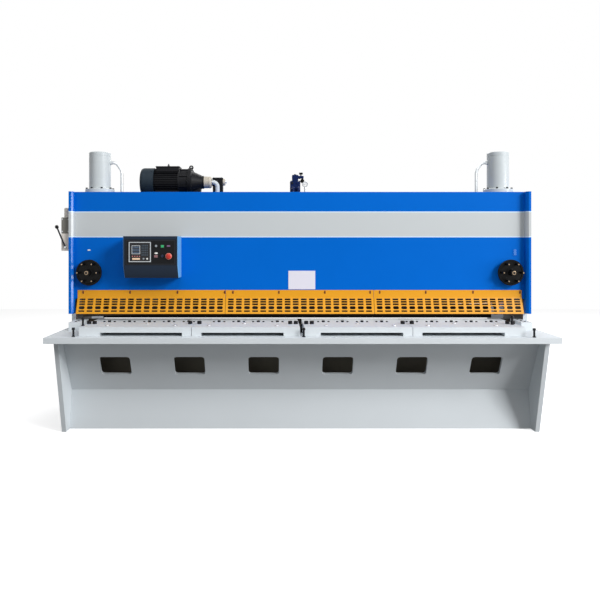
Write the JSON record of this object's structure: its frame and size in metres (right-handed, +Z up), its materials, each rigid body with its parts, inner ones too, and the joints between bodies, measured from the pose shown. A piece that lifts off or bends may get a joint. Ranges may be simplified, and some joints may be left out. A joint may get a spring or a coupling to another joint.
{
  "type": "hydraulic guillotine shear",
  "caption": "Hydraulic guillotine shear for sheet metal: slanted-leg frame, raised table, slotted guard, raked blade on a sliding beam, lift cylinders, power pack and control box.",
  "frame": {"origin": "on the floor, midway between the side plates and under the cutting line, on the underside of the bed plate's foot", "axes": "+X to the right as the operator sees it, +Y from the front to the back, +Z up"},
  "size_m": [4.3667, 1.62, 2.511],
  "materials": {
    "blue_enamel": "gloss enamel on steel plate",
    "white_enamel": "satin enamel on steel plate",
    "yellow_enamel": "gloss enamel on sheet steel",
    "ground_steel": "ground tool steel, lightly oiled",
    "chromed_steel": "hard chrome",
    "grey_enamel": "satin dark grey enamel",
    "black_enamel": "satin black enamel on cast iron",
    "black_plastic": "moulded phenolic",
    "red_plastic": "moulded, semi-gloss",
    "milky_plastic": "translucent moulded"
  },
  "bodies": {
    "frame": {"side_plate_left": "blue_enamel", "side_plate_right": "blue_enamel", "front_panel": "blue_enamel", "cylinder_seat_left": "blue_enamel", "cylinder_seat_right": "blue_enamel", "tank_shelf": "blue_enamel", "oil_tank": "blue_enamel", "rear_tie": "blue_enamel", "work_table": "white_enamel", "table_plate_1": "white_enamel", "table_plate_2": "white_enamel", "table_plate_3": "white_enamel", "table_plate_4": "white_enamel", "end_block_left": "white_enamel", "end_block_right": "white_enamel", "apron_upper": "white_enamel", "apron_lower": "white_enamel", "bed_plate": "white_enamel", "cylinder_left": "white_enamel", "cylinder_right": "white_enamel", "pump": "white_enamel", "suction_elbow": "white_enamel", "guard_left": "yellow_enamel", "guard_middle": "yellow_enamel", "guard_right": "yellow_enamel", "lower_blade": "ground_steel", "guide_left": "ground_steel", "guide_right": "ground_steel", "pipe_left": "ground_steel", "pipe_right": "ground_steel", "pressure_gauge": "ground_steel", "holddown_bank": "grey_enamel", "valve_block": "grey_enamel", "relief_valve": "ground_steel", "filter_block": "black_enamel", "control_box": "grey_enamel", "controller": "black_plastic", "lubricator_body": "grey_enamel", "lubricator_reservoir": "milky_plastic", "motor": "black_enamel", "fan_cowl": "black_enamel", "bell_housing": "black_enamel"},
    "blade_carriage": {"blade_beam": "blue_enamel", "upper_blade": "ground_steel", "rod_left": "chromed_steel", "rod_right": "chromed_steel", "back_gauge": "ground_steel"},
    "handwheel_left": {"handwheel_left": "black_plastic"},
    "handwheel_right": {"handwheel_right": "black_plastic"},
    "lubricator_lever": {"lubricator_lever": "black_plastic"},
    "emergency_stop": {"emergency_stop": "red_plastic"}
  },
  "joints": [
    {"name": "blade_stroke", "type": "slide", "parent": "frame", "child": "blade_carriage", "axis": [0, 0, -1], "range_m": [0, 0.163]},
    {"name": "handwheel_left_turn", "type": "hinge", "parent": "frame", "child": "handwheel_left", "pos_m": [-1.92, -0.15, 1.39215], "axis": [0, -1, 0], "continuous": true},
    {"name": "handwheel_right_turn", "type": "hinge", "parent": "frame", "child": "handwheel_right", "pos_m": [1.92, -0.15, 1.39215], "axis": [0, -1, 0], "continuous": true},
    {"name": "lever_swing", "type": "hinge", "parent": "frame", "child": "lubricator_lever", "pos_m": [-2.135, -0.15, 1.622], "axis": [0, -1, 0], "range_deg": [0, 50]},
    {"name": "stop_press", "type": "slide", "parent": "frame", "child": "emergency_stop", "axis": [0, 1, 0], "range_m": [0, 0.006]}
  ]
}
